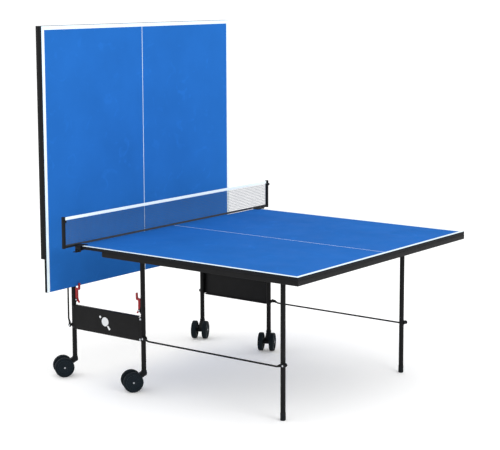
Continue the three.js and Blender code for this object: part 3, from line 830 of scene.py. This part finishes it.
# %% [markdown]
# A steel axle runs through both wheels and ends in a low dome with a dark cap ring, which is the
# bright dot in the middle of each wheel. It is a turned part, so it is a profile and nothing else.


# %% Caster axle
def axle_shape(trail, radius, spacing):
    centre, reach = (trail, 0, radius), spacing + HALF_WHEEL + 0.3
    dome = [(4.9, reach), (4.0, reach + 0.9), (3.0, reach + 1.9), (1.2, reach + 2.2)]
    axle = Shape(zinc)
    axle.turned([(r, -y) for r, y in reversed(dome)] + dome, "y", centre, 28)
    axle.use(dark_steel)
    for way in (-1, 1):
        axle.turned([(4.6, way * reach), (6.5, way * reach), (6.3, way * (reach + 0.8)),
                     (4.6, way * (reach + 1))], "y", centre, 28, hollow=True)
    return axle


# %% [markdown]
# Each wheel has a rubber tyre with two grooves on a moulded hub, dished so that the axle end sits
# in a shallow well, with six ribs across the dish. Tyre and hub are separate profiles in separate
# materials, because the line between rubber and plastic is what makes it a wheel and not a disc.


# %% Caster wheel
def wheel_shape(trail, radius, station):
    shoulder = [(radius - 11, 13), (radius - 4.5, 13), (radius - 1.6, 11.6), (radius - 0.3, 9),
                (radius, 5.4)]
    tread = [(r, -y) for r, y in shoulder]
    for groove in (-4, 4):
        tread += [(radius, groove - 1), (radius - 1.2, groove - 0.6), (radius - 1.2, groove + 0.6),
                  (radius, groove + 1)]
    tread += shoulder[::-1]
    well = [(5.6, 13), (13.5, 13), (15, 12), (16.5, 8.6), (radius - 14.6, 8.2),
            (radius - 13, 11.6), (radius - 10.6, 12.2)]
    rib = [(15, -1.4), (radius - 13.6, -1.4), (radius - 13.6, 1.4), (15, 1.4)]
    centre = (trail, station, radius)
    wheel = Shape(tyre_rubber)
    wheel.turned(tread, "y", centre, 56, hollow=True)
    wheel.use(hub_plastic)
    wheel.turned([(r, -y) for r, y in well] + well[::-1], "y", centre, 56, hollow=True)
    for k in range(6):
        wheel.plate(leaned(rib, trail, radius, pi * k / 3), "xz", station - 10.6, station + 10.6)
    return wheel


# %% [markdown]
# The four casters have swung to their own headings, as they do when a trolley is rolled into place.
# Heading, trail and wheel size are read from the joints, so every wheel turns about its true axle.

# %% Set the four casters
for where in (f"{hand}_{side}" for hand in HANDS for side in SIDES):
    swivel = mm(pivot[f"caster_{where}_swivel"])
    wheels = [mm(pivot[f"wheel_{where}_{w}_spin"]) for w in "ab"]
    middle = (wheels[0] + wheels[1]) / 2
    trail = hypot(middle.x - swivel.x, middle.y - swivel.y)
    heading = atan2(middle.y - swivel.y, middle.x - swivel.x)
    radius, spacing = middle.z, (wheels[1] - wheels[0]).length / 2
    spot = FLAT @ moved(swivel.x, swivel.y, 0) @ Matrix.Rotation(heading, 4, "Z")
    set_down(fork_shape(trail, radius, spacing), f"{where}_caster_fork", spot,
             f"caster_{where}", f"caster_fork_{where}", ease=1.6, segments=3)
    set_down(axle_shape(trail, radius, spacing), f"{where}_caster_axle", spot,
             f"caster_{where}", f"caster_axle_{where}", ease=0)
    for w, way in (("a", -1), ("b", 1)):
        set_down(wheel_shape(trail, radius, way * spacing), f"{where}_wheel_{w}", spot,
                 f"wheel_{where}_{w}", f"caster_wheel_{where}_{w}", ease=0)
    print(where, "caster: heading", round(heading * 180 / pi), "degrees, trail", round(trail), "mm")

# %% [markdown]
# The net set clamps onto the corner of the flat half. A plate lies on the surface and a sprung jaw
# closes from below, and a thin arm carries the post clear of the edge.
# The post is a square bar with a waist and a collar near its top and small ridges on its inner
# face, so it is skinned from squares that change size with height.

# %% Net post with its clamp plate
post_high = mm(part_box("net_post_far")[1])
BAR, NET_HEIGHT, PIN_OUT, PIN_DOWN = 15.2, 152.5, 7, 9
POST_Y, TOP, post_top = post_high.y - 8, SURFACE + NET_HEIGHT, post_high.z


def post_shape(s):
    post = Shape(moulded)
    sections = [(SURFACE - 5, 13.4), (SURFACE - 3.8, BAR), (post_top - 9, BAR),
                (post_top - 8.4, 14.2), (post_top - 7.6, 14.2), (post_top - 7, 16),
                (post_top - 2, 16), (post_top - 0.8, 14.6), (post_top, 11.5)]
    post.skin([[(a * w / BAR, s * POST_Y + b * w / BAR, z) for a, b in rounded(BAR, BAR, 2.6)]
               for z, w in sections])
    arm = [(-7, SURFACE - 2.6), (7, SURFACE - 2.6), (7, SURFACE + 4.6), (5, SURFACE + 6),
           (-5, SURFACE + 6), (-7, SURFACE + 4.6)]
    post.plate(arm, "xz", s * (HALF_W + 4), s * (POST_Y - 7))
    inner, outer, wall = s * (HALF_W - 48), s * (HALF_W + 12.5), s * (HALF_W + 1.5)
    wedge = [(inner, SURFACE + 0.3), (outer, SURFACE + 0.3), (outer, SURFACE + 4.4),
             (s * (HALF_W + 10), SURFACE + 5.3), (s * (HALF_W - 12), SURFACE + 5.3),
             (inner, SURFACE + 2.2)]
    post.plate(wedge, "yz", -12, 38)
    post.block((4, 36), sorted((wall, outer)), (UNDER - 2, SURFACE + 1))
    ear = [(wall, UNDER), (outer, UNDER), (outer, UNDER - 10)]
    ear += [(s * (HALF_W + PIN_OUT + 5.4 * sin(radians(a))),
             UNDER - PIN_DOWN - 5.4 * cos(radians(a))) for a in range(70, -91, -20)]
    for x in ((4, 8), (32, 36)):
        post.plate(ear, "yz", *x)
    for z in range(int(SURFACE) + 24, int(TOP) - 20, 14):
        post.plate([(-5, z), (5, z), (5, z + 1.4), (-5, z + 1.4)], "xz",
                   s * (POST_Y - 8.1), s * (POST_Y - 7.4))
    return post


# %% [markdown]
# A steel pin carries the jaw, two small screws hold a grip plate, and a fluted knob near the top
# tightens the cord of the net. The flutes are a wave added to the knob's radius, ring by ring.


# %% Pins, screws and knobs of the net posts
def fixings_shape(s):
    fixings = Shape(dark_steel)
    pin_line = (0, s * (HALF_W + PIN_OUT), UNDER - PIN_DOWN)
    fixings.turned([(2.4, 5), (2.5, 5.2), (2.5, 34.8), (2.4, 35)], "x", pin_line, 20)
    for x, way in ((4, -1), (36, 1)):
        fixings.turned([(1, x + way * 1.2), (3.3, x + way * 0.8), (3.6, x)], "x", pin_line, 20)
    for x in (-6, 32):
        fixings.screw((x, s * (HALF_W - 6), SURFACE + 5.2), "z", 1, 3.2, 1.6)
    return fixings


def knob_shape(s):
    rings = []
    for x, wide in ((7.4, 4.2), (9.2, 4.2), (9.6, 6.6), (15.4, 7.0), (16.4, 6.2)):
        flute = 0.45 if 9.5 < x < 16 else 0
        turns = [2 * pi * i / 48 for i in range(48)]
        rings.append([(x, s * POST_Y + (wide + flute * cos(12 * a)) * cos(a),
                       post_top - 22 + (wide + flute * cos(12 * a)) * sin(a)) for a in turns])
    return Shape(moulded).skin(rings)


for side, s in SIDES.items():
    set_down(post_shape(s), f"{side}_net_post", FLAT, "right_half", f"net_post_{side}",
             ease=0.6)
    set_down(fixings_shape(s), f"{side}_clamp_pin_and_screws", FLAT, "right_half", ease=0)
    set_down(knob_shape(s), f"{side}_cord_knob", FLAT, "right_half", ease=0.3)
print("posts:", round(2 * POST_Y), "mm between centres, net top at", round(TOP, 1), "mm")

# %% [markdown]
# The jaw is one moulding: a grip pad under the board, a lever outside it and a barrel on the pin.
# A coil spring round the middle of the pin keeps it shut, with one leg on the jaw. The coil is a
# thin section swept along a helix, which stays a single clean skin where a screw modifier would
# need its own object.

# %% Clamp jaws and their coil springs
JAW = (8.5, 31.5)
BARREL_R, BARREL_BORE, COIL_R, WIRE_R = 5.2, 2.9, 4.1, 0.7
profile = [(HALF_W + 6, UNDER - 4.6), (HALF_W - 33, UNDER - 4.6), (HALF_W - 33.6, UNDER - 0.6),
           (HALF_W - 35, UNDER - 0.3), (HALF_W - 41, UNDER - 0.3), (HALF_W - 42, UNDER - 1.4),
           (HALF_W - 41.4, UNDER - 7), (HALF_W - 38, UNDER - 7.4), (HALF_W + 6, UNDER - 7.4)]
lever = [(HALF_W + 8, UNDER - 10.2), (HALF_W + 32, UNDER - 10), (HALF_W + 34, UNDER - 11.4),
         (HALF_W + 32.6, UNDER - 13), (HALF_W + 8, UNDER - 12.8)]
for side, s in SIDES.items():
    jaw = Shape(moulded)
    cy, cz = s * (HALF_W + PIN_OUT), UNDER - PIN_DOWN
    for x0, x1 in ((8.5, 14), (26, 31.5)):
        barrel = [(BARREL_BORE, x0), (5, x0), (BARREL_R, x0 + 0.3), (BARREL_R, x1 - 0.3), (5, x1),
                  (BARREL_BORE, x1)]
        jaw.turned(barrel, "x", (0, cy, cz), 28, hollow=True)
    for outline in (profile, lever):
        jaw.plate([(s * a, b) for a, b in outline], "yz", *JAW)
    for k in range(4):
        y = HALF_W + 16 + 4 * k
        ridge = [(y, -12.6), (y + 1.6, -12.6), (y + 1.6, -13.4), (y, -13.4)]
        jaw.plate([(s * a, UNDER + b) for a, b in ridge], "yz", 10, 30)
    set_down(jaw, f"{side}_clamp_jaw", FLAT, f"clip_jaw_{side}", f"net_clip_jaw_{side}",
             ease=0.5)
    spring = Shape(dark_steel)
    coil = [(14.6 + 10.8 * i / 96, cy + COIL_R * cos(2 * pi * i / 16),
             cz + COIL_R * sin(2 * pi * i / 16)) for i in range(97)]
    spring.swept(coil, circle(WIRE_R, 8))
    leg = [(8, 0.2), (14, -0.6)] if s > 0 else [(-2, -3.2), (-14, -0.6)]
    spring.swept([(25.4, cy + COIL_R, cz)] + [(25.4, cy + a, cz + b) for a, b in leg],
                 circle(WIRE_R, 8))
    set_down(spring, f"{side}_jaw_spring", FLAT, f"clip_jaw_{side}", ease=0)
print("jaws:", JAW[1] - JAW[0], "mm wide, each with a spring of 6 coils")

# %% [markdown]
# The net is knotted from twisted cord at 9 mm. It hangs from a white tape folded over the top
# cord and is bound below by a dark tape, which lifts over the clamps at each end.
# Cords pass over and under each other, so the two sets lie to opposite sides at every crossing.
# A picture of a net on a flat sheet is the usual shortcut, but it vanishes from the side.

# %% Net strands and knots
end_y = POST_Y - 8.3
PITCH, CORD, WEAVE = 9.0, 1.6, 0.45
TAPE_SHOWS, BAND_SHOWS = 15, 11
tape_low, band_top = TOP - TAPE_SHOWS, SURFACE + BAND_SHOWS


def clamp_lift(y):
    """0 over the open board, 1 over a clamp."""
    return min(1, max(0, (abs(y) - (HALF_W - 62)) / 12))


def foot_of_net(y):
    lift = clamp_lift(y)
    return SURFACE + 1.2 + 5.2 * lift * lift * (3 - 2 * lift)


net = Shape(net_cord)
count = int(end_y // PITCH)
columns = [k * PITCH for k in range(-count, count + 1)]
rows = [band_top + 1 + PITCH * k for k in range(int((tape_low - band_top) // PITCH) + 1)]
strand = circle(CORD / 2, 6)
for k, y in enumerate(columns):
    heights = [foot_of_net(y) + 6, *rows, tape_low + 4]
    path = [(WEAVE * (-1) ** (k + i), y, z) for i, z in enumerate(heights)]
    net.swept(path, strand, normal=(0, 1, 0))
for i, z in enumerate(rows):
    path = [(WEAVE * (-1) ** (k + i), y, z) for k, y in enumerate(columns)]
    path = [(0, -end_y + 1, z), *path, (0, end_y - 1, z)]
    net.swept(path, strand, normal=(0, 0, 1))
for y in columns:
    for z in rows:
        knot = [(x, y + a, z + b) for x, r in ((-0.95, 0.45), (0, 1.25), (0.95, 0.45))
                for a, b in circle(r, 6, 0.4)]
        net.skin([knot[i:i + 6] for i in (0, 6, 12)])
strands = set_down(net, "net_strands", FLAT, "right_half", "net", ease=0)
print("net:", len(columns), "upright cords and", len(rows), "level cords")

# %% [markdown]
# The top tape is a 32 mm ribbon folded over the cord, and the lower one is 22 mm folded in half.
# Both are cloth pulled tight between the posts, and the top one is sewn near its open edges.
# Cloth simulation is for loose cloth. Tight tape has one shape, so it is drawn directly.


# %% Tapes and stitching
def gathered(y):
    return 10.6 - 3.6 * clamp_lift(y)


def folded_tape(material, name, foot, height, half_gap, ply=0.35):
    """A tape of one ply folded over at the top, with its foot and height given along the net."""
    made = Shape(material)
    out, gap = half_gap + ply / 2, half_gap - ply / 2
    rings = []
    for y in (-end_y + 2 * end_y * i / 96 for i in range(97)):
        base, tall = foot(y), height(y)
        sag = 0.12 * sin(y / 37)
        ring = [(-out + sag, base), (-out, base + tall - out)]
        ring += [(out * cos(radians(a)), base + tall - out + out * sin(radians(a)))
                 for a in (150, 120, 90, 60, 30)]
        ring += [(out, base + tall - out), (out + sag, base), (gap + sag, base),
                 (gap, base + tall - out)]
        ring += [(gap * cos(radians(a)), base + tall - out + gap * sin(radians(a)))
                 for a in (30, 60, 90, 120, 150)]
        ring += [(-gap, base + tall - out), (-gap + sag, base)]
        rings.append([(x, y, z) for x, z in ring])
    made.skin(rings)
    return set_down(made, name, FLAT, "right_half", ease=0)


top_tape = folded_tape(white_tape, "net_top_tape", lambda y: tape_low, lambda y: TAPE_SHOWS, 1.35)
low_tape = folded_tape(dark_tape, "net_lower_tape", foot_of_net, gathered, 1.2)

STITCH, STITCH_STEP = 3.2, 5
seams = Shape(stitching)
for y in range(-int(end_y) + 6, int(end_y) - 8, STITCH_STEP):
    for x in (-1.62, 1.62):
        seams.block(sorted((x, x * 0.86)), (y, y + STITCH), (tape_low + 1.6, tape_low + 2.3))
sewing = set_down(seams, "top_tape_stitches", FLAT, "right_half", ease=0)

print("tapes:", round(2 * end_y), "mm long")

# %% [markdown]
# The hooks stand where the net would be once its own half is upright. Here the net strands, its tapes
# and its stitches are each given a mesh of their own.

# %% Give the net and its tapes their own meshes
for soft in (strands, top_tape, low_tape, sewing):
    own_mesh(soft)
print("the folded net lies within", round(0.03 * NET_HEIGHT, 1), "mm of the board")

# %% [markdown]
# A studio for a black and blue object has to be bright all round, or the black frame turns into a
# silhouette. The room itself gives an even white light, and two large soft lights shape it: one
# on the right, which brightens the end apron, and a weaker one on the left. The floor is faintly
# lit from below, like a light table, so that the shadow stays soft and its far edge disappears.

# %% Floor and light
floor_paint = finish("studio_floor", (252, 252, 252), (0.8, 0.95), mottle=0.006, patch=900,
                     relief=0.02, grain=6, shine=0.1)
lit_floor = floor_paint.node_tree.nodes["Principled BSDF"]
lit_floor.inputs["Emission Color"].default_value = (1, 1, 1, 1)
lit_floor.inputs["Emission Strength"].default_value = 0.12
FLOOR_R = 40000
floor = Shape(floor_paint)
floor.skin([[(x, y, z) for x, y in circle(FLOOR_R, 96)] for z in (-30, -0.6)])
floor.mesh.transform(Matrix.Scale(0.001, 4))
mesh = bpy.data.meshes.new("studio_floor")
floor.mesh.to_mesh(mesh)
floor.mesh.free()
mesh.materials.append(floor_paint)
studio_floor = bpy.data.objects.new("studio_floor", mesh)
bpy.context.scene.collection.objects.link(studio_floor)

world = bpy.data.worlds.new("studio_room")
bpy.context.scene.world = world
world.use_nodes = True
background = world.node_tree.nodes["Background"]
background.inputs["Color"].default_value = (1, 1, 1, 1)
background.inputs["Strength"].default_value = 1.12
bpy.context.scene.view_settings.view_transform = "Standard"
bpy.context.scene.view_settings.look = "None"


def soft_light(name, spot, aim, size, power):
    lamp = bpy.data.lights.new(name, "AREA")
    lamp.shape = "DISK"
    lamp.size = size
    lamp.energy = power
    holder = bpy.data.objects.new(name, lamp)
    holder.location = spot
    holder.rotation_euler = (Vector(aim) - Vector(spot)).to_track_quat("-Z", "Y").to_euler()
    bpy.context.scene.collection.objects.link(holder)


soft_light("key_light", (5.6, -1.3, 3.0), (0, 0, 0.8), 3.2, 120)
soft_light("fill_light", (-4.4, -2.6, 2.4), (0, 0, 0.9), 3.0, 25)
print("studio: an even white room, a lit floor and two soft lights")

# %% [markdown]
# The two boxes are kept side by side: the solids' own box, and the box of what is shown. They
# should agree, because finer detail never makes the table larger.

# %% Compare the sizes and finish
print("largest gaps in mm:", [(name, round(gap, 1)) for gap, name in sorted(worst_gaps)[-4:]])
